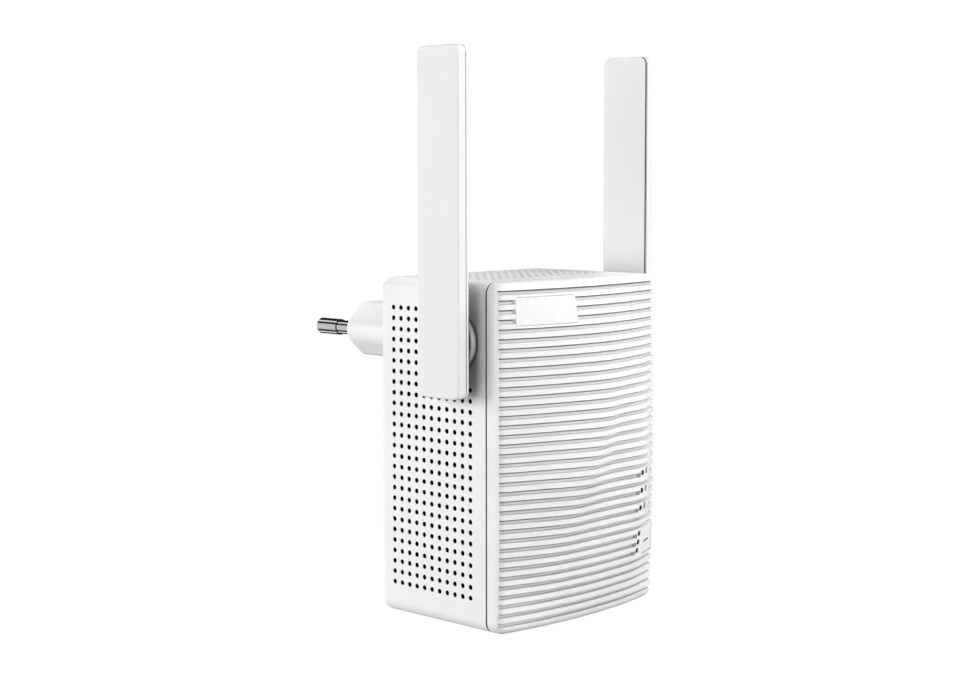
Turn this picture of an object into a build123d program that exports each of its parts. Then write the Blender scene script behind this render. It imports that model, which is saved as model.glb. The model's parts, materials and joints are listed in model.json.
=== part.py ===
"""Wall-plug wifi range extender: a ribbed front cover on a perforated rear case, two folding blade
antennas on side hinges, a two-pin plug behind, and the boards, switches and socket inside.

Frame: millimetres, +Z up, the front faces -Y and the plug points along +Y. The origin is the centre
of the plug's end face, midway between the two pins. Depths called "ahead" are distances in front of
that end face, along -Y.
"""

import os
from math import exp, tanh

from build123d import *

os.makedirs("parts", exist_ok=True)

# ---------------------------------------------------------------- driving dimensions
case_width = 66.0
case_height = 94.3
case_mid_z = -29.1  # height of the case's middle, seen from the plug's axis
wall = 2.0
corner_radius = 3.2
back_edge_radius = 3.0

case_back = 35.1  # the rear case's back face, ahead of the plug's end face
parting = 77.0  # the plane where the rear case meets the front cover
parting_gap = 0.5
rebate_depth = 2.7  # how deep the front cover is cut back inside for the rear case's tongue
tongue_reach = 2.2
tongue_clearance = 0.08
face_edge = 81.5  # the front face along its left and right edges

groove_count = 36
groove_pitch = 2.54
groove_height = 1.22
groove_depth = 1.2
groove_start = 0.45  # where the grooves begin, in from the left-hand side
first_groove_drop = 2.01  # from the top of the cover to the top of the first groove
front_edge_radius = 2.4

hole_pitch = 2.97
hole_diameter = 1.4
hole_rows = 27
hole_columns = 11
lowest_hole_z = -67.4
rearmost_hole = 41.36

plug_half_width = 16.6
plug_flat_half_width = 7.7
plug_half_height = 8.0
plug_nose_radius = 5.0
plug_corner_radius = 2.5
pin_spacing = 19.0
pin_length = 17.0
pin_radius = 2.4
pin_neck_radius = 2.1

hinge_ahead = 66.2
hinge_z = 1.8
hub_radius = 7.8
shaft_radius = 4.0
shaft_clearance = 0.05
lead_bore_radius = 2.2

blade_gap = 3.45  # between the case wall and the antenna's inner face
blade_thickness = 4.0
blade_width = 15.6
blade_bottom_z = -12.9
blade_top_z = 80.2
blade_corner_radius = 2.15
blade_cover_thickness = 0.85
blade_seam = 0.2
blade_crown = 0.35

# ---------------------------------------------------------------- derived dimensions
half_width = case_width / 2
half_height = case_height / 2
case_top_z = case_mid_z + half_height
case_bottom_z = case_mid_z - half_height
blade_inner_x = half_width + blade_gap
blade_outer_x = blade_inner_x + blade_thickness
blade_mid_z = (blade_top_z + blade_bottom_z) / 2
blade_length = blade_top_z - blade_bottom_z
first_groove_z = case_top_z - first_groove_drop - groove_height / 2


def ahead(distance):
    """A plane facing forwards, with local x along +X and local y along +Z."""
    return Plane.XZ.offset(distance)


def level(height):
    """A horizontal plane facing up, with local x along +X and local y along +Y."""
    return Plane.XY.offset(height)


def sideways(distance):
    """A plane facing +X, with local x along +Y and local y along +Z."""
    return Plane.YZ.offset(distance)


def save(builder, label):
    """Label a finished piece and write it to its own file."""
    builder.part.label = label
    export_step(builder.part, f"parts/{label}.step")


def groove_z(index):
    """Height of the middle of one front groove, counted from the top."""
    return first_groove_z - index * groove_pitch


# ---------------------------------------------------------------- the sculpted front face
edge_rise = 3.0  # how far the middle of the top and bottom edges stands out
middle_rise = 4.8  # how much further the middle of the face stands out
ridge_rise = 2.5  # the soft ridge that runs from upper right to lower left
shoulder_rise = 2.6  # the second bend, near the right-hand edge
right_fall = 0.6  # how far the right-hand edge falls away
corner_fall = 0.5  # how much further its lower corner falls away


def bell(distance, left_spread, right_spread):
    """A smooth bump with a different spread on each side."""
    spread = left_spread if distance < 0 else right_spread
    return exp(-0.5 * (distance / spread) ** 2)


def face_rise(x, z):
    """How far the face stands ahead of its left and right edges, z counted from the middle."""
    across = abs(x) / half_width
    along = abs(z) / half_height
    pillow = (edge_rise + middle_rise * (1 - along**2.75)) * (1 - across**1.85)
    ridge_x = -4.6 + 14.5 * tanh((z + 2.5) / 28.5)
    ridge = ridge_rise * bell(z + 2.5, 16.0, 16.0) * bell(x - ridge_x, 8.2, 4.4)
    shoulder = shoulder_rise * bell(z + 7.7, 18.0, 18.0) * bell(x - 20.5, 7.0, 5.0)
    rightward = (1 + x / half_width) / 2
    downward = (1 - z / half_height) / 2
    fall = (right_fall + corner_fall * downward**2) * rightward**2
    return pillow + ridge + shoulder - fall


def face_surface(setback):
    """The sculpted face as one smooth surface, moved back by setback."""
    columns, rows, step_x, step_z = 25, 33, 3.0, 3.2
    grid = []
    for i in range(columns):
        x = (i - (columns - 1) / 2) * step_x
        line = []
        for j in range(rows):
            z = (j - (rows - 1) / 2) * step_z
            line.append((x, -face_edge - face_rise(x, z) + setback, z + case_mid_z))
        grid.append(line)
    return Face.make_surface_from_array_of_points(grid, tol=0.05, min_deg=3, max_deg=3)


crest_surface = face_surface(0.0)
floor_surface = face_surface(groove_depth)
lining_surface = face_surface(groove_depth + wall)
back_of_face = 34.0  # how far the solids behind these surfaces reach
front_reach = 4.0  # how far behind the face's edges its cutting tools start
face_span = 16.0  # long enough to pass the most prominent point of the face

# ---------------------------------------------------------------- indicators and button on the face
led_grooves = [21, 23, 25]  # the upper lamps, each with a short plain pad beside it
signal_grooves = [28, 29, 30]  # the lower lamps, beside the button
led_x = 18.4
signal_x = 19.3
lamp_width = 1.4
lamp_height = 1.4
lamp_rise = 0.57  # a lamp sits a little above the middle of the groove that ends at it
lamp_rim = 0.3  # the plain strip between a groove's end and its lamp
led_pad_end_x = 24.3
button_left_x = 23.1
button_right_x = 31.4
button_clearance = 0.14
button_mid_x = (button_left_x + button_right_x) / 2
button_width = button_right_x - button_left_x
button_z = groove_z(29)
button_height = 2 * groove_pitch + groove_height + 1.1
button_travel = 0.35
opening_corner_radius = 0.7

badge_grooves = [1, 2, 3]
badge_left_x = -27.8
badge_right_x = -6.9
badge_height = 2 * groove_pitch + groove_height + 1.3
badge_z = groove_z(2)
badge_inset = 0.1

lamp_places = [(led_x, groove_z(i) + lamp_rise) for i in led_grooves]
lamp_places += [(signal_x, groove_z(i) + lamp_rise) for i in signal_grooves]


def groove_spans(index):
    """The stretches of one groove, as (start, end) along X: plain pads interrupt some of them."""
    left, right = groove_start - half_width, half_width + 1
    if index in badge_grooves:
        return [(left, badge_left_x), (badge_right_x, right)]
    if index in led_grooves:
        return [(left, led_x - lamp_width / 2 - lamp_rim), (led_pad_end_x, right)]
    if index in signal_grooves:
        return [(left, signal_x - lamp_width / 2 - lamp_rim)]
    return [(left, right)]


# ---------------------------------------------------------------- screws, posts and boards
pillar_x = 26.5
pillar_offset_z = 40.5
pillar_places = [
    (sx * pillar_x, case_mid_z + sz * pillar_offset_z) for sx in (-1, 1) for sz in (-1, 1)
]
pillar_join = 62.0  # where the rear pillars meet the cover's pillars
screw_radius = 1.3
screw_head_radius = 2.5
screw_head_height = 1.8
screw_length = 10.0
head_play = 0.3
shank_play = 0.15
screw_seat = pillar_join - 3.0
cover_pillar_radius = 3.0
rear_pillar_radius = 4.0

main_board_back = 72.0
board_thickness = 1.6
main_board_front = main_board_back + board_thickness
main_board_width = 58.0
main_board_height = 86.0
board_post_places = [(-17.0, 8.0), (17.0, 8.0), (-17.0, -66.0), (12.0, -66.0)]
board_post_radius = 2.4

power_board_back = 44.0
power_board_front = power_board_back + board_thickness
power_board_mid_z = -25.5
power_post_places = [(-22.0, 3.0), (22.0, 3.0), (-22.0, -54.0), (22.0, -54.0)]
power_post_radius = 2.5
small_screw_radius = 1.0
small_screw_length = 5.0
thread_fit = 0.02  # how much wider a screw's hole is than its thread
peg_radius = 1.2
peg_length = 3.2
peg_span_x, peg_span_z = 34.0, 17.0
root_depth = 0.5  # how far posts and pegs run into the wall they stand on

jack_x = -6.0
jack_width = 16.0
jack_height = 13.4
jack_length = 21.0
jack_mouth_z = case_bottom_z + 0.3
jack_back = main_board_back - jack_height
reset_x = 18.0
reset_ahead = 66.0

# ---------------------------------------------------------------- front cover
with BuildPart() as cover_hollow:
    with BuildSketch(ahead(parting - 1)):
        with Locations((0, case_mid_z)):
            RectangleRounded(case_width - 2 * wall, case_height - 2 * wall, corner_radius - wall)
    extrude(amount=20)
    with BuildSketch(ahead(parting - 1)):
        with Locations((0, case_mid_z)):
            RectangleRounded(case_width - wall, case_height - wall, corner_radius - wall / 2)
    extrude(amount=rebate_depth + 1)
    extrude(to_extrude=lining_surface, amount=back_of_face, dir=(0, 1, 0), mode=Mode.INTERSECT)

with BuildPart() as groove_cutter:
    with BuildSketch(ahead(face_edge - front_reach)):
        for groove in range(groove_count):
            for start, end in groove_spans(groove):
                with Locations(((start + end) / 2, groove_z(groove))):
                    Rectangle(end - start, groove_height)
    extrude(amount=face_span)
    extrude(to_extrude=floor_surface, amount=back_of_face, dir=(0, 1, 0), mode=Mode.SUBTRACT)

with BuildPart() as badge_pocket:
    with BuildSketch(ahead(face_edge - front_reach)):
        with Locations(((badge_left_x + badge_right_x) / 2, badge_z)):
            RectangleRounded(badge_right_x - badge_left_x, badge_height, 0.6)
    extrude(amount=face_span)
    extrude(to_extrude=floor_surface, amount=back_of_face, dir=(0, 1, 0), mode=Mode.SUBTRACT)

with BuildPart() as front_cover:
    with BuildSketch(ahead(parting + parting_gap / 2)):
        with Locations((0, case_mid_z)):
            RectangleRounded(case_width, case_height, corner_radius)
    extrude(amount=18)
    extrude(to_extrude=crest_surface, amount=back_of_face, dir=(0, 1, 0), mode=Mode.INTERSECT)
    fillet(front_cover.faces().sort_by(Axis.Y)[0].edges(), front_edge_radius)
    add(cover_hollow.part, mode=Mode.SUBTRACT)
    # pillars for the case screws, and short posts for the main board
    with BuildSketch(ahead(pillar_join + 0.05)):
        with Locations(*pillar_places):
            Circle(cover_pillar_radius)
    extrude(until=Until.NEXT)
    with BuildSketch(ahead(main_board_front)):
        with Locations(*board_post_places):
            Circle(board_post_radius)
    extrude(until=Until.NEXT)
    add(groove_cutter.part, mode=Mode.SUBTRACT)
    add(badge_pocket.part, mode=Mode.SUBTRACT)
    with BuildSketch(ahead(pillar_join)):
        with Locations(*pillar_places):
            Circle(screw_radius + thread_fit)
    extrude(amount=screw_length, mode=Mode.SUBTRACT)
    with BuildSketch(ahead(main_board_front)):
        with Locations(*board_post_places):
            Circle(small_screw_radius + thread_fit)
    extrude(amount=small_screw_length + 0.5, mode=Mode.SUBTRACT)
    # lamp apertures and the opening for the button
    with BuildSketch(ahead(parting)):
        with Locations(*lamp_places):
            Rectangle(lamp_width, lamp_height)
        with Locations((button_mid_x, button_z)):
            RectangleRounded(button_width, button_height, opening_corner_radius)
    extrude(amount=20, mode=Mode.SUBTRACT)
save(front_cover, "front_cover")

# ---------------------------------------------------------------- badge plate, flush with the ribs
with BuildPart() as badge_plate:
    with BuildSketch(ahead(face_edge - front_reach)):
        with Locations(((badge_left_x + badge_right_x) / 2, badge_z)):
            RectangleRounded(
                badge_right_x - badge_left_x - 2 * badge_inset, badge_height - 2 * badge_inset, 0.5
            )
    extrude(amount=face_span)
    extrude(to_extrude=crest_surface, amount=back_of_face, dir=(0, 1, 0), mode=Mode.INTERSECT)
    extrude(to_extrude=floor_surface, amount=back_of_face, dir=(0, 1, 0), mode=Mode.SUBTRACT)
save(badge_plate, "badge_plate")

# ---------------------------------------------------------------- button with its stem
button_flange = 1.0  # a lip behind the cover that keeps the button in
button_core = 1.2  # how far the stem stands out behind the lip
button_corner_radius = 0.6
button_edge_radius = 0.25
stem_radius = 1.6
switch_x = button_mid_x
switch_z = button_z
switch_body_height = 3.2
plunger_radius = 0.9
plunger_height = 1.3
plunger_tip = main_board_front + switch_body_height + plunger_height
button_back = plunger_tip + 0.02
flange_setback = groove_depth + wall + 0.12
flange_surface = face_surface(flange_setback)

with BuildPart() as button_lip:
    with BuildSketch(ahead(face_edge - front_reach - 2)):
        with Locations((button_mid_x, button_z)):
            Rectangle(button_width - 2 * button_clearance, button_height + 2 * button_flange)
    extrude(amount=face_span)
    extrude(to_extrude=flange_surface, amount=back_of_face, dir=(0, 1, 0), mode=Mode.INTERSECT)
    split(bisect_by=ahead(button_back + button_core), keep=Keep.TOP)

with BuildPart() as wps_button:
    with BuildSketch(ahead(button_back + button_core)):
        with Locations((button_mid_x, button_z)):
            RectangleRounded(
                button_width - 2 * button_clearance,
                button_height - 2 * button_clearance,
                button_corner_radius,
            )
    extrude(amount=face_span)
    extrude(to_extrude=crest_surface, amount=back_of_face, dir=(0, 1, 0), mode=Mode.INTERSECT)
    fillet(wps_button.faces().sort_by(Axis.Y)[0].edges(), button_edge_radius)
    add(button_lip.part)
    with BuildSketch(ahead(button_back)):
        with Locations((switch_x, switch_z)):
            Circle(stem_radius)
    extrude(amount=button_core + 0.3)
save(wps_button, "wps_button")

# ---------------------------------------------------------------- light guide behind the lamps
guide_start = main_board_front + 1.3
guide_bar_ahead = main_board_front + 3.2
guide_bar_width, guide_bar_depth = 2.0, 1.2
guide_bar_x = (led_x + signal_x) / 2 - 0.4
guide_recess = 0.1  # the tips stop just short of the plain pads
guide_fit = 0.08
guide_surface = face_surface(guide_recess)

with BuildPart() as light_guide:
    with BuildSketch(ahead(guide_start)):
        with Locations(*lamp_places):
            Rectangle(lamp_width - 2 * guide_fit, lamp_height - 2 * guide_fit)
    extrude(amount=20)
    extrude(to_extrude=guide_surface, amount=back_of_face, dir=(0, 1, 0), mode=Mode.INTERSECT)
    with BuildSketch(ahead(guide_bar_ahead)):
        guide_top = groove_z(led_grooves[0]) + lamp_height
        guide_bottom = groove_z(signal_grooves[-1]) - lamp_height
        with Locations((guide_bar_x, (guide_top + guide_bottom) / 2)):
            Rectangle(guide_bar_width, guide_top - guide_bottom)
    extrude(amount=guide_bar_depth)
save(light_guide, "light_guide")

# ---------------------------------------------------------------- printed marks on the plain pads
mark_height = 0.06
led_mark_x = 20.65
led_mark_width = 0.8
led_mark_height = 1.7
led_mark_rise = 0.95
button_mark_x = button_mid_x - 1.2
button_mark_length, button_mark_height = 4.6, 0.5
ink_surface = face_surface(-mark_height)

with BuildPart() as printed_marks:
    with BuildSketch(ahead(face_edge - front_reach)):
        with Locations(*[(led_mark_x, groove_z(i) + led_mark_rise) for i in led_grooves]):
            Rectangle(led_mark_width, led_mark_height)
        with Locations((button_mark_x, button_z)):
            Rectangle(button_mark_length, button_mark_height)
    extrude(amount=face_span)
    extrude(to_extrude=ink_surface, amount=back_of_face, dir=(0, 1, 0), mode=Mode.INTERSECT)
    extrude(to_extrude=crest_surface, amount=back_of_face, dir=(0, 1, 0), mode=Mode.SUBTRACT)
save(printed_marks, "printed_marks")

# ---------------------------------------------------------------- rear case
plain_zone_columns = range(4, hole_columns)  # no holes round the hinge
plain_zone_rows = range(20, hole_rows)
bearing_radius = 5.6
bearing_inner_x = 27.5
jack_gap = 0.12
plug_gap = 0.1
reset_pinhole_radius = 1.0
bottom_vent_x = 20.0  # the first column of bottom vents on each side
bottom_vent_ahead = 45.0

side_hole_places = [
    (-rearmost_hole - column * hole_pitch, lowest_hole_z + row * hole_pitch)
    for column in range(hole_columns)
    for row in range(hole_rows)
    if not (column in plain_zone_columns and row in plain_zone_rows)
]
vent_columns = 17
top_vent_rows = 9
bottom_vent_places = [
    (side * (bottom_vent_x + column * hole_pitch), -bottom_vent_ahead - row * hole_pitch)
    for side in (-1, 1)
    for column in range(3)
    for row in range(6)
]


def plug_outline(distance, growth):
    """The plug's section: a flattened hexagon with rounded noses, grown outwards by a margin."""
    tip = plug_half_width + growth
    flat = plug_flat_half_width + growth * 0.4
    top = plug_half_height + growth
    with BuildSketch(ahead(distance)) as outline:
        Polygon(
            (-tip, 0), (-flat, top), (flat, top), (tip, 0), (flat, -top), (-flat, -top), align=None
        )
        fillet(outline.vertices().group_by(Axis.X)[0], plug_nose_radius + growth)
        fillet(outline.vertices().group_by(Axis.X)[-1], plug_nose_radius + growth)
        corners = outline.vertices().filter_by(lambda v: abs(v.Y) > top - 0.01)
        fillet(corners, plug_corner_radius + growth)
    return outline.sketch


# the tongue that enters the front cover, cut back where the face is low
tongue_surface = face_surface(groove_depth + wall + 0.15)

with BuildPart() as tongue:
    with BuildSketch(ahead(parting - 4.0)):
        with Locations((0, case_mid_z)):
            RectangleRounded(
                case_width - wall - 2 * tongue_clearance,
                case_height - wall - 2 * tongue_clearance,
                corner_radius - wall / 2 - tongue_clearance,
            )
            RectangleRounded(
                case_width - 2 * wall,
                case_height - 2 * wall,
                corner_radius - wall,
                mode=Mode.SUBTRACT,
            )
    extrude(amount=4.0 + tongue_reach)
    extrude(to_extrude=tongue_surface, amount=back_of_face, dir=(0, 1, 0), mode=Mode.INTERSECT)

with BuildPart() as rear_case:
    with BuildSketch(ahead(case_back)):
        with Locations((0, case_mid_z)):
            RectangleRounded(case_width, case_height, corner_radius)
    extrude(amount=parting - parting_gap / 2 - case_back)
    fillet(rear_case.faces().sort_by(Axis.Y)[-1].edges(), back_edge_radius)
    with BuildSketch(ahead(case_back + wall)):
        with Locations((0, case_mid_z)):
            RectangleRounded(case_width - 2 * wall, case_height - 2 * wall, corner_radius - wall)
    extrude(amount=parting, mode=Mode.SUBTRACT)
    # side perforations, straight through both walls
    with BuildSketch(sideways(-half_width - 1)):
        with Locations(*side_hole_places):
            Circle(hole_diameter / 2)
    extrude(amount=case_width + 2, mode=Mode.SUBTRACT)
    # vents through the top, and a few beside the socket through the bottom
    with BuildSketch(level(case_top_z - wall - 1)):
        with Locations((0, -(case_back + parting) / 2)):
            with GridLocations(hole_pitch, hole_pitch, vent_columns, top_vent_rows):
                Circle(hole_diameter / 2)
    extrude(amount=wall + 2, mode=Mode.SUBTRACT)
    with BuildSketch(level(case_bottom_z - 1)):
        with Locations(*bottom_vent_places):
            Circle(hole_diameter / 2)
    extrude(amount=wall + 2, mode=Mode.SUBTRACT)
    add(tongue.part)
    # bearings for the antenna hinges
    for side in (-1, 1):
        with BuildSketch(sideways(side * bearing_inner_x)):
            with Locations((-hinge_ahead, hinge_z)):
                Circle(bearing_radius)
        extrude(amount=side * (half_width - bearing_inner_x - 0.5))
    with BuildSketch(sideways(-half_width - 1)):
        with Locations((-hinge_ahead, hinge_z)):
            Circle(shaft_radius + shaft_clearance)
    extrude(amount=case_width + 2, mode=Mode.SUBTRACT)
    # screw pillars with deep counterbores from the back
    with BuildSketch(ahead(case_back + wall - root_depth)):
        with Locations(*pillar_places):
            Circle(rear_pillar_radius)
    extrude(amount=pillar_join - case_back - wall + root_depth)
    with BuildSketch(ahead(case_back - 1)):
        with Locations(*pillar_places):
            Circle(screw_head_radius + head_play)
    extrude(amount=screw_seat - case_back + 1, mode=Mode.SUBTRACT)
    with BuildSketch(ahead(case_back)):
        with Locations(*pillar_places):
            Circle(screw_radius + shank_play)
    extrude(amount=pillar_join, mode=Mode.SUBTRACT)
    # posts for the power board, and pegs for the plug's flange
    with BuildSketch(ahead(case_back + wall - root_depth)):
        with Locations(*power_post_places):
            Circle(power_post_radius)
    extrude(amount=power_board_back - case_back - wall + root_depth)
    with BuildSketch(ahead(power_board_back)):
        with Locations(*power_post_places):
            Circle(small_screw_radius + thread_fit)
    extrude(amount=0.5 - small_screw_length, mode=Mode.SUBTRACT)
    with BuildSketch(ahead(case_back + wall - root_depth)):
        with GridLocations(peg_span_x, peg_span_z, 2, 2):
            Circle(peg_radius)
    extrude(amount=peg_length)
    # the opening that the plug passes through
    extrude(plug_outline(case_back - 1, plug_gap), amount=wall + 2, mode=Mode.SUBTRACT)
    # the socket's opening and the reset pinhole, through the bottom
    with BuildSketch(level(case_bottom_z - 1)):
        with Locations((jack_x, -(jack_back + main_board_back) / 2)):
            Rectangle(jack_width + 2 * jack_gap, jack_height + 2 * jack_gap)
        with Locations((reset_x, -reset_ahead)):
            Circle(reset_pinhole_radius)
    extrude(amount=wall + 2, mode=Mode.SUBTRACT)
save(rear_case, "rear_case")

# ---------------------------------------------------------------- plug and pins
plug_wall = 2.0
end_wall = 4.0
flange_thickness = 1.8
flange_width = 38.0
flange_height = 21.0
flange_corner_radius = 2.0
flange_seat = case_back + wall + 0.05
plug_end_radius = 1.0
peg_fit = 0.05
pin_tail_radius = 1.5
pin_tail_end = 38.0
pin_shoulder_radius = 3.0
pin_shoulder = 1.6
pin_full_length = 10.0  # the thick stretch of each pin, from its tip
pin_tip_step = 1.0
pin_tip_taper = 1.2
pin_step_length = 0.3
pin_shoulder_fit = 0.02
pin_shoulder_reach = 0.6  # how far the shoulder stands out behind the plug's end wall
pin_tip_rounding = 0.4

with BuildPart() as plug_base:
    extrude(plug_outline(0, 0), amount=flange_seat)
    fillet(plug_base.faces().sort_by(Axis.Y)[-1].edges(), plug_end_radius)
    with BuildSketch(ahead(flange_seat)):
        RectangleRounded(flange_width, flange_height, flange_corner_radius)
    extrude(amount=flange_thickness)
    extrude(plug_outline(end_wall, -plug_wall), amount=case_back + 10, mode=Mode.SUBTRACT)
    with BuildSketch(ahead(case_back + wall)):
        with GridLocations(peg_span_x, peg_span_z, 2, 2):
            Circle(peg_radius + peg_fit)
    extrude(amount=2 * flange_thickness, mode=Mode.SUBTRACT)
    with BuildSketch(ahead(-1)):
        with GridLocations(pin_spacing, 0, 2, 1):
            Circle(pin_neck_radius)
    extrude(amount=end_wall + 2, mode=Mode.SUBTRACT)
    with BuildSketch(ahead(end_wall - pin_shoulder)):
        with GridLocations(pin_spacing, 0, 2, 1):
            Circle(pin_shoulder_radius)
    extrude(amount=pin_shoulder + 1, mode=Mode.SUBTRACT)
save(plug_base, "plug_base")


def make_pin(side, label):
    """One plug pin: a thick tip, a slimmer neck, a shoulder held in the plug, and a tail."""
    neck_end = pin_length - pin_full_length
    shoulder = pin_shoulder_radius - pin_shoulder_fit
    with BuildPart() as pin:
        with BuildSketch(Plane.XY):
            with BuildLine():
                Polyline(
                    (0, pin_length),
                    (pin_radius - pin_tip_step, pin_length),
                    (pin_radius, pin_length - pin_tip_taper),
                    (pin_radius, neck_end + pin_step_length),
                    (pin_neck_radius, neck_end),
                    (pin_neck_radius, pin_shoulder - end_wall),
                    (shoulder, pin_shoulder - end_wall),
                    (shoulder, -end_wall - pin_shoulder_reach),
                    (pin_tail_radius, -end_wall - pin_shoulder_reach),
                    (pin_tail_radius, -pin_tail_end),
                    (0, -pin_tail_end),
                    close=True,
                )
            make_face()
        revolve(axis=Axis.Y)
        fillet(pin.edges().group_by(Axis.Y)[-1], pin_tip_rounding)
    pin.part.locate(Location((side * pin_spacing / 2, 0, 0)))
    save(pin, label)


make_pin(-1, "plug_pin_left")
make_pin(1, "plug_pin_right")

# spring clips on the power board that grip the pins' tails
clip_start = 33.0
clip_length = 6.5
clip_gap = 0.02
clip_thickness = 0.68
clip_slot = 0.8
clip_foot_start = clip_start + 5.0
clip_foot_width, clip_foot_thickness = 2.4, 0.6

with BuildPart() as plug_contacts:
    with BuildSketch(ahead(clip_start)):
        with GridLocations(pin_spacing, 0, 2, 1):
            Circle(pin_tail_radius + clip_gap + clip_thickness)
            Circle(pin_tail_radius + clip_gap, mode=Mode.SUBTRACT)
            with Locations((0, pin_tail_radius)):
                Rectangle(clip_slot, 2 * pin_tail_radius, mode=Mode.SUBTRACT)
    extrude(amount=clip_length)
    with BuildSketch(ahead(clip_foot_start)):
        with GridLocations(pin_spacing, 0, 2, 1):
            with Locations((0, -(pin_tail_radius + 0.4))):
                Rectangle(clip_foot_width, clip_foot_thickness)
    extrude(amount=power_board_back - clip_foot_start)
save(plug_contacts, "plug_contacts")

# ---------------------------------------------------------------- case screws


def screw_profile(shank_radius, shank_length, head_radius, head_height):
    """Half the section of a pan-head screw whose head seats at zero, shank along +Y."""
    with BuildSketch(Plane.XY) as profile:
        with BuildLine():
            Polyline((0, shank_length), (shank_radius * 0.5, shank_length))
            Line((shank_radius * 0.5, shank_length), (shank_radius, shank_length - shank_radius))
            Line((shank_radius, shank_length - shank_radius), (shank_radius, 0))
            Line((shank_radius, 0), (head_radius, 0))
            Line((head_radius, 0), (head_radius, -head_height * 0.5))
            ThreePointArc(
                (head_radius, -head_height * 0.5),
                (head_radius * 0.8, -head_height * 0.87),
                (head_radius * 0.4, -head_height),
            )
            Line((head_radius * 0.4, -head_height), (0, -head_height))
            Line((0, -head_height), (0, shank_length))
        make_face()
    return profile.sketch


def make_screws(label, places, seat, forwards, sizes):
    """A group of like screws; forwards means that the shanks point to the front."""
    shank_radius, shank_length, head_radius, head_height = sizes
    with BuildPart() as one_screw:
        revolve(screw_profile(shank_radius, shank_length, head_radius, head_height), axis=Axis.Y)
        with BuildSketch(Plane.XZ.offset(head_height + 0.1)):
            Rectangle(head_radius * 1.1, head_radius * 0.3)
            Rectangle(head_radius * 0.3, head_radius * 1.1)
        extrude(amount=-head_height * 0.65, mode=Mode.SUBTRACT)
    turn = 180 if forwards else 0
    with BuildPart() as group:
        for x, z in places:
            add(Pos(x, -seat, z) * Rot(turn, 0, 0) * one_screw.part)
    save(group, label)


case_screw_sizes = (screw_radius, screw_length, screw_head_radius, screw_head_height)
small_screw_sizes = (small_screw_radius, small_screw_length, 1.9, 1.3)
make_screws("case_screws", pillar_places, screw_seat, True, case_screw_sizes)
make_screws("main_board_screws", board_post_places, main_board_back, True, small_screw_sizes)
make_screws("power_board_screws", power_post_places, power_board_front, False, small_screw_sizes)

# ---------------------------------------------------------------- main board and what it carries
notch_width = 8.0
notch_height = 10.0

with BuildPart() as main_board:
    with BuildSketch(ahead(main_board_back)):
        with Locations((0, case_mid_z)):
            Rectangle(main_board_width, main_board_height)
            with GridLocations(
                main_board_width - notch_width, main_board_height - notch_height, 2, 2
            ):
                Rectangle(notch_width, notch_height, mode=Mode.SUBTRACT)
        with Locations(*board_post_places):
            Circle(small_screw_radius + 0.1, mode=Mode.SUBTRACT)
    extrude(amount=board_thickness)
save(main_board, "main_board")

can_mid = (0.0, -20.0)
can_width, can_height, can_rise = 30.0, 34.0, 2.5
can_sheet = 0.3
can_corner_radius = 1.0

with BuildPart() as shield_can:
    with BuildSketch(ahead(main_board_front)):
        with Locations(can_mid):
            RectangleRounded(can_width, can_height, can_corner_radius)
    extrude(amount=can_rise)
    with BuildSketch(ahead(main_board_front)):
        with Locations(can_mid):
            RectangleRounded(
                can_width - 2 * can_sheet, can_height - 2 * can_sheet, can_corner_radius - can_sheet
            )
    extrude(amount=can_rise - can_sheet, mode=Mode.SUBTRACT)
save(shield_can, "shield_can")

# each chip's middle, width, height and thickness
chip_places = [
    (-5.0, -13.0, 12.0, 12.0, 1.0),
    (7.0, -26.0, 9.0, 9.0, 0.9),
    (-7.0, -29.0, 8.0, 5.0, 1.2),
]

with BuildPart() as board_chips:
    for x, z, width, height, rise in chip_places:
        with BuildSketch(ahead(main_board_front)):
            with Locations((x, z)):
                Rectangle(width, height)
        extrude(amount=rise)
save(board_chips, "board_chips")

pad_margin = 3.0
pad_thickness = 1.0

with BuildPart() as thermal_pad:
    with BuildSketch(ahead(main_board_front + can_rise)):
        with Locations(can_mid):
            Rectangle(can_width - 2 * pad_margin, can_height - 2 * pad_margin)
    extrude(amount=pad_thickness)
save(thermal_pad, "thermal_pad")

heat_spreader_start = main_board_front + can_rise + pad_thickness
spreader_base = 1.2
fin_count, fin_pitch, fin_thickness, fin_rise = 9, 3.8, 0.9, 2.2

with BuildPart() as heat_spreader:
    with BuildSketch(ahead(heat_spreader_start)):
        with Locations(can_mid):
            Rectangle(can_width + 2, can_height)
    extrude(amount=spreader_base)
    with BuildSketch(ahead(heat_spreader_start + spreader_base)):
        with Locations(can_mid):
            with GridLocations(fin_pitch, 0, fin_count, 1):
                Rectangle(fin_thickness, can_height)
    extrude(amount=fin_rise)
save(heat_spreader, "heat_spreader")

led_length, led_width, led_rise = 1.6, 1.2, 0.7

with BuildPart() as status_leds:
    with BuildSketch(ahead(main_board_front)):
        with Locations(*lamp_places):
            Rectangle(led_length, led_width)
    extrude(amount=led_rise)
    fillet(status_leds.edges().filter_by(Axis.Y), 0.15)
save(status_leds, "status_leds")


# ---------------------------------------------------------------- push switches
switch_narrow, switch_wide = 3.0, 6.0
plunger_well_floor = 1.0
plunger_fit = 0.05
plunger_start = plunger_well_floor + button_travel + 0.1
reset_switch_top = case_bottom_z + wall + 8.5
reset_body_depth = main_board_back - reset_ahead + 2.2


def switch_body(plane, width, length, shift):
    """A push-switch body standing on a plane, with a well for its plunger at the plane's origin."""
    with BuildPart() as body:
        with BuildSketch(plane):
            with Locations((0, shift)):
                Rectangle(width, length)
        extrude(amount=switch_body_height)
        chamfer(body.faces().sort_by(Axis(plane.origin, plane.z_dir))[-1].edges(), 0.2)
        with BuildSketch(plane.offset(plunger_well_floor)):
            Circle(plunger_radius + plunger_fit)
        extrude(amount=switch_body_height, mode=Mode.SUBTRACT)
    return body


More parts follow.
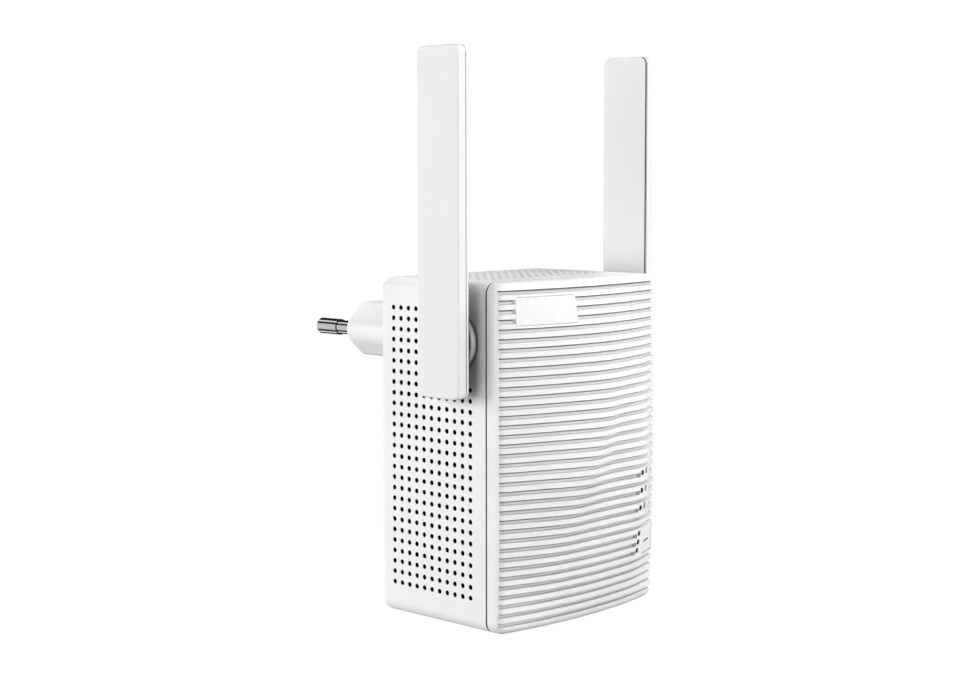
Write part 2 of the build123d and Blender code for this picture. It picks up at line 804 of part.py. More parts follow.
def switch_plunger(plane):
    """The plunger of such a switch, out at rest."""
    with BuildPart() as plunger:
        with BuildSketch(plane.offset(plunger_start)):
            Circle(plunger_radius)
        extrude(amount=switch_body_height + plunger_height - plunger_start)
        fillet(plunger.edges().filter_by(GeomType.CIRCLE), 0.1)
    return plunger


# the front button's switch stands on the main board's front
wps_plane = Plane((switch_x, -main_board_front, switch_z), x_dir=(1, 0, 0), z_dir=(0, -1, 0))
save(switch_body(wps_plane, switch_narrow, switch_wide, 0), "wps_switch")
save(switch_plunger(wps_plane), "wps_switch_plunger")

# the reset switch lies on the main board's back, and its plunger points down at the pinhole
reset_plane = Plane((reset_x, -reset_ahead, reset_switch_top), x_dir=(1, 0, 0), z_dir=(0, 0, -1))
reset_shift = main_board_back - reset_body_depth / 2 - reset_ahead
save(switch_body(reset_plane, switch_wide, reset_body_depth, reset_shift), "reset_switch")
save(switch_plunger(reset_plane), "reset_switch_plunger")

# ---------------------------------------------------------------- ethernet socket
mouth_width = 11.8
mouth_height = 7.0
mouth_depth = 13.0
latch_widths = [(6.4, 1.5), (3.4, 2.9)]  # the stepped latch way, width and reach
mouth_front = main_board_back - 2.6  # the mouth's contact side

with BuildPart() as ethernet_jack:
    with BuildSketch(level(jack_mouth_z)):
        with Locations((jack_x, -(jack_back + main_board_back) / 2)):
            Rectangle(jack_width, jack_height)
    extrude(amount=jack_length)
    chamfer(ethernet_jack.faces().sort_by(Axis.Z)[0].edges(), 0.4)
    with BuildSketch(level(jack_mouth_z)):
        with Locations((jack_x, -mouth_front + mouth_height / 2)):
            Rectangle(mouth_width, mouth_height)
        for width, reach in latch_widths:
            with Locations((jack_x, -mouth_front + mouth_height + reach / 2)):
                Rectangle(width, reach + 0.01)
    extrude(amount=mouth_depth, mode=Mode.SUBTRACT)
save(ethernet_jack, "ethernet_jack")

contact_count = 8
contact_pitch = 1.02
contact_thickness = 0.35
contact_start = 1.5  # from the mouth
contact_rise = 1.3  # how far the wires' inner ends stand off their wall

contact_foot = -mouth_front + 0.02
contact_end_z = jack_mouth_z + mouth_depth - 0.05

with BuildPart() as jack_contacts:
    for index in range(contact_count):
        contact_x = jack_x + (index - (contact_count - 1) / 2) * contact_pitch
        with BuildSketch(sideways(contact_x - contact_thickness / 2)):
            with BuildLine():
                Polyline(
                    (contact_foot, jack_mouth_z + contact_start),
                    (contact_foot + contact_thickness, jack_mouth_z + contact_start),
                    (contact_foot + contact_rise, contact_end_z),
                    (contact_foot + contact_rise - contact_thickness, contact_end_z),
                    close=True,
                )
            make_face()
        extrude(amount=contact_thickness)
save(jack_contacts, "jack_contacts")

# ---------------------------------------------------------------- power board and what it carries
power_board_width = 54.0
power_board_height = 64.0

with BuildPart() as power_board:
    with BuildSketch(ahead(power_board_back)):
        with Locations((0, power_board_mid_z)):
            Rectangle(power_board_width, power_board_height)
        with Locations(*power_post_places):
            Circle(small_screw_radius + 0.1, mode=Mode.SUBTRACT)
    extrude(amount=board_thickness)
save(power_board, "power_board")

core_mid = (-6.0, -30.0)
core_width, core_height, core_depth = 20.0, 18.0, 8.0
core_leg, core_window, core_window_height = 6.0, 4.0, 11.0
core_start = power_board_front + 3.2
winding_fit = 0.2
winding_build = 3.0  # how far the winding stands out of the core, front and back
winding_corner_radius = 2.0

with BuildPart() as transformer_core:
    with BuildSketch(ahead(core_start)):
        with Locations(core_mid):
            Rectangle(core_width, core_height)
            with GridLocations(core_leg + core_window, 0, 2, 1):
                Rectangle(core_window, core_window_height, mode=Mode.SUBTRACT)
    extrude(amount=core_depth)
save(transformer_core, "transformer_core")

with BuildPart() as transformer_winding:
    with BuildSketch(level(core_mid[1] - (core_window_height - winding_fit) / 2)):
        with Locations((core_mid[0], -core_start - core_depth / 2)):
            RectangleRounded(
                core_leg + 2 * core_window - 2 * winding_fit,
                core_depth + 2 * winding_build,
                winding_corner_radius,
            )
            Rectangle(core_leg + winding_fit, core_depth + winding_fit, mode=Mode.SUBTRACT)
    extrude(amount=core_window_height - winding_fit)
save(transformer_winding, "transformer_winding")


crimp_rise, crimp_depth, crimp_height = 1.4, 0.4, 0.8


def upright_cans(label, places, radius, height, rim):
    """Round cans standing on the power board, with a rolled groove near the foot."""
    with BuildPart() as cans:
        with BuildSketch(ahead(power_board_front)):
            with Locations(*places):
                Circle(radius)
        extrude(amount=height)
        fillet(cans.edges().group_by(Axis.Y)[0], rim)
        with BuildSketch(ahead(power_board_front + crimp_rise)):
            with Locations(*places):
                Circle(radius + 0.1)
                Circle(radius - crimp_depth, mode=Mode.SUBTRACT)
        extrude(amount=crimp_height, mode=Mode.SUBTRACT)
    save(cans, label)


upright_cans("bulk_capacitors", [(14.0, -45.0), (18.0, -31.0)], 5.0, 15.0, 0.6)
upright_cans("output_capacitor", [(-20.0, -45.0)], 4.0, 11.0, 0.5)

choke_place = (17.0, -14.0)
choke_flange_radius, choke_waist_radius = 4.5, 3.6
choke_flange, choke_waist = 1.2, 6.0

with BuildPart() as input_choke:
    with BuildSketch(ahead(power_board_front)):
        with Locations(choke_place):
            Circle(choke_flange_radius)
    extrude(amount=choke_flange)
    with BuildSketch(ahead(power_board_front + choke_flange)):
        with Locations(choke_place):
            Circle(choke_waist_radius)
    extrude(amount=choke_waist)
    with BuildSketch(ahead(power_board_front + choke_flange + choke_waist)):
        with Locations(choke_place):
            Circle(choke_flange_radius)
    extrude(amount=choke_flange)
save(input_choke, "input_choke")

bridge_place = (2.0, -10.0)
bridge_width, bridge_height, bridge_rise = 6.4, 8.0, 2.6

with BuildPart() as bridge_rectifier:
    with BuildSketch(ahead(power_board_front)):
        with Locations(bridge_place):
            Rectangle(bridge_width, bridge_height)
    extrude(amount=bridge_rise)
    chamfer(bridge_rectifier.faces().sort_by(Axis.Y)[0].edges(), 0.4)
save(bridge_rectifier, "bridge_rectifier")

fuse_start_x, fuse_z, fuse_length, fuse_radius = -21.0, -13.0, 12.0, 2.3

with BuildPart() as fuse:
    with BuildSketch(sideways(fuse_start_x)):
        with Locations((-power_board_front - fuse_radius - 0.1, fuse_z)):
            Circle(fuse_radius)
    extrude(amount=fuse_length)
    fillet(fuse.edges().filter_by(GeomType.CIRCLE), 0.4)
save(fuse, "fuse")

link_mid = (8.5, -52.8)
link_pin_pitch = 2.54
link_pin_size = 0.64
link_header, link_socket = 2.6, 8.5  # heights of the pin header and of the socket over it

with BuildPart() as board_link:
    for start, height in (
        (power_board_front, link_header),
        (main_board_back - link_socket, link_socket),
    ):
        with BuildSketch(ahead(start)):
            with Locations(link_mid):
                Rectangle(4 * link_pin_pitch, link_pin_pitch)
        extrude(amount=height)
    with BuildSketch(ahead(power_board_front + link_header)):
        with Locations(link_mid):
            with GridLocations(link_pin_pitch, 0, 4, 1):
                Rectangle(link_pin_size, link_pin_size)
    extrude(amount=main_board_back - link_socket - power_board_front - link_header)
save(board_link, "board_link")

# ---------------------------------------------------------------- antennas, one on each side
retainer_start_x = 26.2
retainer_thickness = 0.8
retainer_groove_radius = 3.2
ring_margin, ring_fit, ring_mouth = 0.3, 0.04, 4.5
washer_margin, washer_fit = 0.1, 0.08
washer_thickness = 0.4
shaft_end_x = 24.6
hub_gap = 0.2
hub_thickness = 2.2
hub_rim = 0.8
hub_neck_radius = 5.0
hub_start_x = half_width + hub_gap
key_size = 6.4
key_end_x = blade_inner_x + 1.1
blade_wall = 1.15
shell_inner_x = blade_inner_x + blade_cover_thickness + blade_seam
cavity_end_x = blade_outer_x - blade_wall - 0.1
spigot_fit = 0.06
lead_radius = 0.565
lead_x = shell_inner_x + 0.95
element_bottom_z = hinge_z + 14.0
element_top_z = blade_top_z - 4.0
element_thickness = 0.6
element_width = 10.0
rim_reach = 1.0
rim_thickness = 0.74
shell_edge_radius = 0.5
cover_edge_radius = 0.2
key_corner = 1.0
key_fit = 0.06
groove_play = 0.05
washer_start_x = retainer_start_x + retainer_thickness + 0.03
lead_bend = 3.4
lead_drop = 10.8
lead_joint = 0.2  # half the gap where the turning lead meets the fixed one
lead_end_ahead = main_board_back - 2.2
socket_x = 15.5
socket_top_z = -15.5
socket_size = 3.0


def outward(side, x):
    """A plane facing away from the case on one side, its origin on the hinge's axis."""
    return Plane((side * x, -hinge_ahead, hinge_z), x_dir=(0, 1, 0), z_dir=(side, 0, 0))


def disc(side, x, radius):
    """A circle about the hinge's axis."""
    with BuildSketch(outward(side, x)) as outline:
        Circle(radius)
    return outline.sketch


def blade_outline(side, x, inset, corner):
    """The blade's rounded outline, seen from the side, inset from its edge."""
    with BuildSketch(outward(side, x)) as outline:
        with Locations((0, side * (blade_mid_z - hinge_z))):
            RectangleRounded(blade_width - 2 * inset, blade_length - 2 * inset, corner)
    return outline.sketch


def make_shell(side):
    """The outer shell, crowned across its width and hollow inside."""
    front_y, back_y = -hinge_ahead - blade_width, -hinge_ahead + blade_width
    start_x, edge_x = side * shell_inner_x, side * (blade_outer_x - 3 * blade_crown)
    cavity_depth = cavity_end_x - shell_inner_x
    outline = blade_outline(side, shell_inner_x, 0, blade_corner_radius)
    cavity = blade_outline(side, shell_inner_x, blade_wall, blade_corner_radius - 1.0)
    with BuildPart() as shell:
        with BuildSketch(level(blade_bottom_z - 1)):
            with BuildLine():
                ThreePointArc((edge_x, front_y), (side * blade_outer_x, -hinge_ahead), (edge_x, back_y))
                Polyline((edge_x, back_y), (start_x, back_y), (start_x, front_y), (edge_x, front_y))
            make_face()
        extrude(amount=blade_length + 2)
        extrude(outline, amount=2 * blade_thickness, mode=Mode.INTERSECT)
        fillet(shell.faces().sort_by(Axis.X)[-1 if side > 0 else 0].edges(), shell_edge_radius)
        extrude(cavity, amount=cavity_depth, mode=Mode.SUBTRACT)
    return shell


def make_cover(side):
    """The inner cover: a plate with a rim that enters the shell, and a keyhole for the hub."""
    rim_x = blade_inner_x + blade_cover_thickness
    plate = blade_outline(side, blade_inner_x, 0, blade_corner_radius)
    rim = blade_outline(side, rim_x, blade_wall + spigot_fit, blade_corner_radius - 1.0)
    rim_inset = blade_wall + spigot_fit + rim_thickness
    rim_inside = blade_outline(side, rim_x, rim_inset, 0.5)
    with BuildPart() as cover:
        extrude(plate, amount=blade_cover_thickness)
        fillet(cover.faces().sort_by(Axis.X)[0 if side > 0 else -1].edges(), cover_edge_radius)
        extrude(rim, amount=rim_reach)
        extrude(rim_inside, amount=rim_reach, mode=Mode.SUBTRACT)
        with BuildSketch(outward(side, blade_inner_x)):
            RectangleRounded(key_size + key_fit, key_size + key_fit, key_corner)
        extrude(amount=blade_cover_thickness, mode=Mode.SUBTRACT)
    return cover


def make_hub(side):
    """The hinge hub: a low disc, a neck, a hollow shaft through the case wall, and a square key."""
    with BuildPart() as hub:
        extrude(disc(side, hub_start_x, hub_radius), amount=hub_thickness)
        fillet(hub.edges().filter_by(GeomType.CIRCLE), hub_rim)
        extrude(disc(side, hub_start_x, hub_neck_radius), amount=blade_inner_x - hub_start_x)
        extrude(disc(side, shaft_end_x, shaft_radius), amount=hub_start_x - shaft_end_x + 1)
        with BuildSketch(outward(side, hub_start_x + 1)):
            RectangleRounded(key_size, key_size, key_corner)
        extrude(amount=key_end_x - hub_start_x - 1)
        with BuildSketch(outward(side, retainer_start_x - groove_play)):
            Circle(shaft_radius + 1)
            Circle(retainer_groove_radius, mode=Mode.SUBTRACT)
        extrude(amount=retainer_thickness + 2 * groove_play, mode=Mode.SUBTRACT)
        bore = disc(side, shaft_end_x, lead_bore_radius)
        extrude(bore, amount=key_end_x - shaft_end_x, mode=Mode.SUBTRACT)
    return hub


def make_snap_ring(side):
    """The snap ring in the shaft's groove, open at the bottom."""
    with BuildPart() as ring:
        with BuildSketch(outward(side, retainer_start_x)):
            Circle(bearing_radius - ring_margin)
            Circle(retainer_groove_radius + ring_fit, mode=Mode.SUBTRACT)
            with Locations((0, -side * bearing_radius)):
                Rectangle(ring_mouth, 2 * bearing_radius, mode=Mode.SUBTRACT)
        extrude(amount=retainer_thickness)
    return ring


def make_washer(side):
    """The washer between the snap ring and the bearing."""
    with BuildPart() as washer:
        with BuildSketch(outward(side, washer_start_x)):
            Circle(bearing_radius - washer_margin)
            Circle(shaft_radius + washer_fit, mode=Mode.SUBTRACT)
        extrude(amount=washer_thickness)
    return washer


def make_element(side):
    """The antenna's own strip board."""
    middle = (element_bottom_z + element_top_z) / 2 - hinge_z
    with BuildPart() as element:
        with BuildSketch(outward(side, cavity_end_x - element_thickness - 0.05)):
            with Locations((0, side * middle)):
                Rectangle(element_width, element_top_z - element_bottom_z)
        extrude(amount=element_thickness)
    return element


def make_lead(points, radius):
    """A thin round lead along straight runs joined by arcs."""
    with BuildPart() as lead:
        with BuildLine() as route:
            FilletPolyline(*points, radius=radius)
        with BuildSketch(Plane(route.line @ 0, z_dir=route.line % 0)):
            Circle(lead_radius)
        sweep()
    return lead


def make_antenna(side, name):
    """All the pieces of one antenna, and its lead's continuation inside the case."""
    save(make_shell(side), f"antenna_shell_{name}")
    save(make_cover(side), f"antenna_cover_{name}")
    save(make_hub(side), f"hinge_hub_{name}")
    save(make_snap_ring(side), f"hinge_snap_ring_{name}")
    save(make_washer(side), f"hinge_washer_{name}")
    save(make_element(side), f"antenna_element_{name}")
    inside_blade = [
        (side * lead_x, -hinge_ahead, element_bottom_z - 0.1),
        (side * lead_x, -hinge_ahead, hinge_z),
        (side * (shaft_end_x + lead_joint), -hinge_ahead, hinge_z),
    ]
    inside_case = [
        (side * (shaft_end_x - lead_joint), -hinge_ahead, hinge_z),
        (side * socket_x, -hinge_ahead, hinge_z),
        (side * socket_x, -lead_end_ahead, hinge_z - lead_drop),
        (side * socket_x, -lead_end_ahead, socket_top_z),
    ]
    save(make_lead(inside_blade, lead_bend), f"antenna_lead_{name}")
    save(make_lead(inside_case, lead_bend), f"board_lead_{name}")


make_antenna(-1, "left")
make_antenna(1, "right")

with BuildPart() as lead_sockets:
    with BuildSketch(ahead(main_board_back - socket_size)):
        with Locations((-socket_x, socket_top_z - socket_size / 2)):
            Rectangle(socket_size, socket_size)
        with Locations((socket_x, socket_top_z - socket_size / 2)):
            Rectangle(socket_size, socket_size)
    extrude(amount=socket_size)
    chamfer(lead_sockets.faces().sort_by(Axis.Y)[-1].edges(), 0.3)
save(lead_sockets, "lead_sockets")
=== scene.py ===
"""Looks for the wall-plug wifi range extender: materials for the imported CAD meshes, light and
camera.

Metres, in the CAD model's frame: +Z up, the ribbed front faces -Y, the plug points along +Y.
"""

import json
from math import pi, radians

import bpy
from mathutils import Euler, Matrix, Vector


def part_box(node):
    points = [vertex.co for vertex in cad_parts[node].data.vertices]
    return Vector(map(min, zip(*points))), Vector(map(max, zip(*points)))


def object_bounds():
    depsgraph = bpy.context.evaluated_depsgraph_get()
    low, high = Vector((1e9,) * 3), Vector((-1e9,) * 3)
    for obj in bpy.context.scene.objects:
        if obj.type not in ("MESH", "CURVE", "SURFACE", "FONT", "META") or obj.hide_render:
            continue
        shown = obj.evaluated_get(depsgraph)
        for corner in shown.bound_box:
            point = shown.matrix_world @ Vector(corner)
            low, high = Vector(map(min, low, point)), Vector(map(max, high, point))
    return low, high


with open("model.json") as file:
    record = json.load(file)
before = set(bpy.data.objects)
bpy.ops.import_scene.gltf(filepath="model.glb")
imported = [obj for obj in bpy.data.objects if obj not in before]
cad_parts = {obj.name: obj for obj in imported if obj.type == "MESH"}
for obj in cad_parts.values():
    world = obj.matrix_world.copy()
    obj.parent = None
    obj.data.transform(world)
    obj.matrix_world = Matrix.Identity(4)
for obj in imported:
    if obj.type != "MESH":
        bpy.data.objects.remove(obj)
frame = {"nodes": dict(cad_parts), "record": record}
cad_low, cad_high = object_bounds()
nodes = frame["nodes"]
MM = 0.001
NOISE_SPREAD = (0.3, 0.7)  # nearly all of a noise's values lie between these


# ---------------------------------------------------------------- materials
def new_material(name):
    """A material holding only a Principled shader and its output."""
    material = bpy.data.materials.new(name)
    material.use_nodes = True
    tree = material.node_tree
    return material, tree, tree.nodes["Principled BSDF"]


def object_noise(tree, size, detail=3.0, roughness=0.55):
    """Noise in the part's own coordinates, with features of about the given size in metres."""
    place = tree.nodes.new("ShaderNodeTexCoord")
    noise = tree.nodes.new("ShaderNodeTexNoise")
    noise.inputs["Scale"].default_value = 1 / size
    noise.inputs["Detail"].default_value = detail
    noise.inputs["Roughness"].default_value = roughness
    tree.links.new(place.outputs["Object"], noise.inputs["Vector"])
    return noise


def map_range(tree, source, source_range, result_range, smooth=False):
    """Maps a number from one range to another, held at the ends, with an eased path if asked."""
    node = tree.nodes.new("ShaderNodeMapRange")
    if smooth:
        node.interpolation_type = "SMOOTHSTEP"
    node.inputs["From Min"].default_value = source_range[0]
    node.inputs["From Max"].default_value = source_range[1]
    node.inputs["To Min"].default_value = result_range[0]
    node.inputs["To Max"].default_value = result_range[1]
    tree.links.new(source, node.inputs["Value"])
    return node.outputs["Result"]


def split_axes(tree, vector):
    """A node whose outputs are the X, Y and Z of a vector."""
    node = tree.nodes.new("ShaderNodeSeparateXYZ")
    tree.links.new(vector, node.inputs["Vector"])
    return node


def mix_shaders(tree, factor, first, second):
    """The first shader where the factor is 0, the second where it is 1."""
    node = tree.nodes.new("ShaderNodeMixShader")
    tree.links.new(factor, node.inputs["Fac"])
    tree.links.new(first, node.inputs[1])
    tree.links.new(second, node.inputs[2])
    return node.outputs["Shader"]


def grey(level):
    """A neutral colour with its alpha."""
    return (level, level, level, 1)


def vary(tree, source, result_range, target):
    """Drives a shader number from a noise, between two values."""
    number = map_range(tree, source.outputs["Fac"], NOISE_SPREAD, result_range)
    tree.links.new(number, target)


def vary_colour(tree, source, first, second, target):
    """Drives a shader colour from a noise, between two colours."""
    ramp = tree.nodes.new("ShaderNodeValToRGB")
    for stop, position, colour in zip(ramp.color_ramp.elements, NOISE_SPREAD, (first, second)):
        stop.position = position
        stop.color = (*colour, 1)
    tree.links.new(source.outputs["Fac"], ramp.inputs["Fac"])
    tree.links.new(ramp.outputs["Color"], target)


def grain(tree, shader, noise, depth, strength):
    """A fine surface texture in the normal."""
    bump = tree.nodes.new("ShaderNodeBump")
    bump.inputs["Strength"].default_value = strength
    bump.inputs["Distance"].default_value = depth
    tree.links.new(noise.outputs["Fac"], bump.inputs["Height"])
    tree.links.new(bump.outputs["Normal"], shader.inputs["Normal"])


def math_node(tree, operation, first, second, clamp=False):
    """A number made from two others, each a socket or a constant."""
    node = tree.nodes.new("ShaderNodeMath")
    node.operation = operation
    node.use_clamp = clamp
    for socket, value in zip(node.inputs, (first, second)):
        if isinstance(value, (int, float)):
            socket.default_value = value
        else:
            tree.links.new(value, socket)
    return node.outputs["Value"]


def vector_node(tree, operation, first, second=None):
    """A vector made from one or two others, each a socket or a constant."""
    node = tree.nodes.new("ShaderNodeVectorMath")
    node.operation = operation
    for socket, value in zip(node.inputs, (first, second)):
        if value is None:
            continue
        if isinstance(value, tuple):
            socket.default_value = value
        else:
            tree.links.new(value, socket)
    return node.outputs["Value" if operation == "LENGTH" else "Vector"]


def shade_by(tree, shader, factor):
    """Multiplies a shader's colour by a number from 0 to 1."""
    source = shader.inputs["Base Color"].links[0].from_socket
    scaled = tree.nodes.new("ShaderNodeVectorMath")
    scaled.operation = "SCALE"
    tree.links.new(source, scaled.inputs[0])
    tree.links.new(factor, scaled.inputs["Scale"])
    tree.links.new(scaled.outputs["Vector"], shader.inputs["Base Color"])


OPEN_SKY = (0.3, 0.85)  # share of its surroundings a surface sees when darkest and when fully lit
OCCLUSION_SAMPLES = 6


def painted_occlusion(tree, reach, depth):
    """Painted shade: a factor of one in the open, falling by depth where other surfaces stand within
    reach.
    """
    near = tree.nodes.new("ShaderNodeAmbientOcclusion")
    near.samples = OCCLUSION_SAMPLES
    near.inputs["Distance"].default_value = reach
    return map_range(tree, near.outputs["AO"], OPEN_SKY, (1 - depth, 1.0), smooth=True)


RIB_CORNER_SHADE = (0.55 * MM, 0.8)  # reach and depth of the painted shade in the grooves' corners
RIB_SHADOW_REACH = 1.4 * MM
RIB_SHADOW_GAIN = 3.0  # how quickly the shadow fills in under a rib
SIDEWAYS = 0.8  # a normal with more X than this, either way, belongs to an end wall


def deepen_rib_shadows(material, first_top, pitch, height, depth):
    """Paints shadow on the upper edge of each groove's floor, where the rib above hides the light, and
    painted shade in the grooves' corners.

    The short walls at the ends of the grooves, which face sideways, stay as they are.
    """
    tree = material.node_tree
    shader = tree.nodes["Principled BSDF"]
    place = tree.nodes.new("ShaderNodeTexCoord")
    axes = split_axes(tree, place.outputs["Object"])
    drop = math_node(tree, "SUBTRACT", first_top, axes.outputs["Z"])
    below_rib = math_node(tree, "MODULO", drop, pitch)
    band = map_range(tree, below_rib, (height / 2, height), (1.0, 0.0), smooth=True)
    hidden = math_node(tree, "SUBTRACT", 1.0, painted_occlusion(tree, RIB_SHADOW_REACH, 1.0))
    hidden = math_node(tree, "MULTIPLY", hidden, RIB_SHADOW_GAIN, clamp=True)
    dark = math_node(tree, "MULTIPLY", band, hidden)
    dark = math_node(tree, "MULTIPLY", dark, depth)
    lit = math_node(tree, "SUBTRACT", 1.0, dark)
    lit = math_node(tree, "MULTIPLY", lit, painted_occlusion(tree, *RIB_CORNER_SHADE))
    facing = split_axes(tree, place.outputs["Normal"])
    sideways = math_node(tree, "ABSOLUTE", facing.outputs["X"], 0.0)
    end_wall = math_node(tree, "GREATER_THAN", sideways, SIDEWAYS)
    shade_by(tree, shader, math_node(tree, "MAXIMUM", lit, end_wall))


SEAM_LEVEL = 0.04  # share of the colour kept in the seam's painted shadow
SEAM_EDGE = (0.4, 0.6)  # where the dark fades out, as shares of the band's width


def paint_seam_shadow(material, middle, width):
    """Paints shadow into the seam round one antenna: a dark band at a given X, standing in for the
    shade in the gap.
    """
    tree = material.node_tree
    shader = tree.nodes["Principled BSDF"]
    place = tree.nodes.new("ShaderNodeTexCoord")
    axes = split_axes(tree, place.outputs["Object"])
    offset = math_node(tree, "SUBTRACT", axes.outputs["X"], middle)
    offset = math_node(tree, "ABSOLUTE", offset, 0.0)
    edge = (SEAM_EDGE[0] * width, SEAM_EDGE[1] * width)
    shade_by(tree, shader, map_range(tree, offset, edge, (SEAM_LEVEL, 1.0)))


PLASTIC_IOR = 1.49
PLASTIC_GRAIN = 0.35  # the grains are bump strengths
PLASTIC_PATCHES = 14 * MM  # the patches are sizes of the uneven spots in colour, and in gloss
PLASTIC_GLOSS_PATCHES = 3 * MM
METAL_GRAIN = 0.2
METAL_PATCHES = 2 * MM
METAL_GLOSS_PATCHES = 1.2 * MM
METAL_SHADE = 0.96  # the darker spots' share of the colour


def plastic(
    name, colour, roughness=(0.36, 0.46), size=0.28 * MM, depth=0.012 * MM, shade=0.012, painted_shade=()
):
    """Moulded plastic with a fine eroded texture, a slight unevenness of colour and gloss, and any
    painted shade given.
    """
    material, tree, shader = new_material(name)
    darker = tuple(c * (1 - shade) for c in colour)
    lighter = tuple(min(1.0, c * (1 + shade)) for c in colour)
    broad = object_noise(tree, PLASTIC_PATCHES, detail=4.0)
    vary_colour(tree, broad, darker, lighter, shader.inputs["Base Color"])
    # painted shade: the colour darkens where other surfaces stand near
    for reach, amount in painted_shade:
        shade_by(tree, shader, painted_occlusion(tree, reach, amount))
    gloss = object_noise(tree, PLASTIC_GLOSS_PATCHES)
    vary(tree, gloss, roughness, shader.inputs["Roughness"])
    grain(tree, shader, object_noise(tree, size, detail=2.0), depth, PLASTIC_GRAIN)
    shader.inputs["IOR"].default_value = PLASTIC_IOR
    return material


def metal(name, colour, roughness=(0.12, 0.22), size=0.4 * MM, depth=0.004 * MM):
    """Plated or rolled metal with faint marks."""
    material, tree, shader = new_material(name)
    darker = tuple(c * METAL_SHADE for c in colour)
    broad = object_noise(tree, METAL_PATCHES)
    vary_colour(tree, broad, darker, colour, shader.inputs["Base Color"])
    gloss = object_noise(tree, METAL_GLOSS_PATCHES)
    vary(tree, gloss, roughness, shader.inputs["Roughness"])
    grain(tree, shader, object_noise(tree, size), depth, METAL_GRAIN)
    shader.inputs["Metallic"].default_value = 1.0
    return material


INSIDE_LEVEL = 0.004  # share of the colour kept on a shell's inner surfaces, painted dark as shade
FULL_GLOSS = 0.5  # the shader's own specular level, kept on its outside


def paint_inside_shade(material, low, high, radius, skin, roof):
    """Paints shade on a shell's inner surfaces, near black with no gloss: all that lies deeper than
    skin in a rounded box.

    The walls of the holes in its roof stay white, free of the painted shade, down to the depth given.
    """
    tree = material.node_tree
    shader = tree.nodes["Principled BSDF"]
    place = tree.nodes.new("ShaderNodeTexCoord")
    middle = tuple((a + b) / 2 for a, b in zip(low, high))
    core = tuple((b - a) / 2 - radius for a, b in zip(low, high))
    offset = vector_node(tree, "SUBTRACT", place.outputs["Object"], middle)
    past_core = vector_node(tree, "SUBTRACT", vector_node(tree, "ABSOLUTE", offset), core)
    outside = vector_node(tree, "LENGTH", vector_node(tree, "MAXIMUM", past_core, (0.0, 0.0, 0.0)))
    within = split_axes(tree, past_core)
    deepest = math_node(tree, "MAXIMUM", within.outputs["X"], within.outputs["Y"])
    deepest = math_node(tree, "MAXIMUM", deepest, within.outputs["Z"])
    deepest = math_node(tree, "MINIMUM", deepest, 0.0)
    distance = math_node(tree, "ADD", outside, deepest)  # from the core, less than radius inside
    depth = math_node(tree, "SUBTRACT", radius, distance)
    lit = map_range(tree, depth, (skin, 2 * skin), (1.0, INSIDE_LEVEL))
    height = split_axes(tree, place.outputs["Object"]).outputs["Z"]
    in_roof = math_node(tree, "GREATER_THAN", height, high[2] - roof)
    lit = math_node(tree, "MAXIMUM", lit, in_roof)
    shade_by(tree, shader, lit)
    gloss = math_node(tree, "MULTIPLY", lit, FULL_GLOSS)
    tree.links.new(gloss, shader.inputs["Specular IOR Level"])


WHITE = (0.76, 0.76, 0.76)
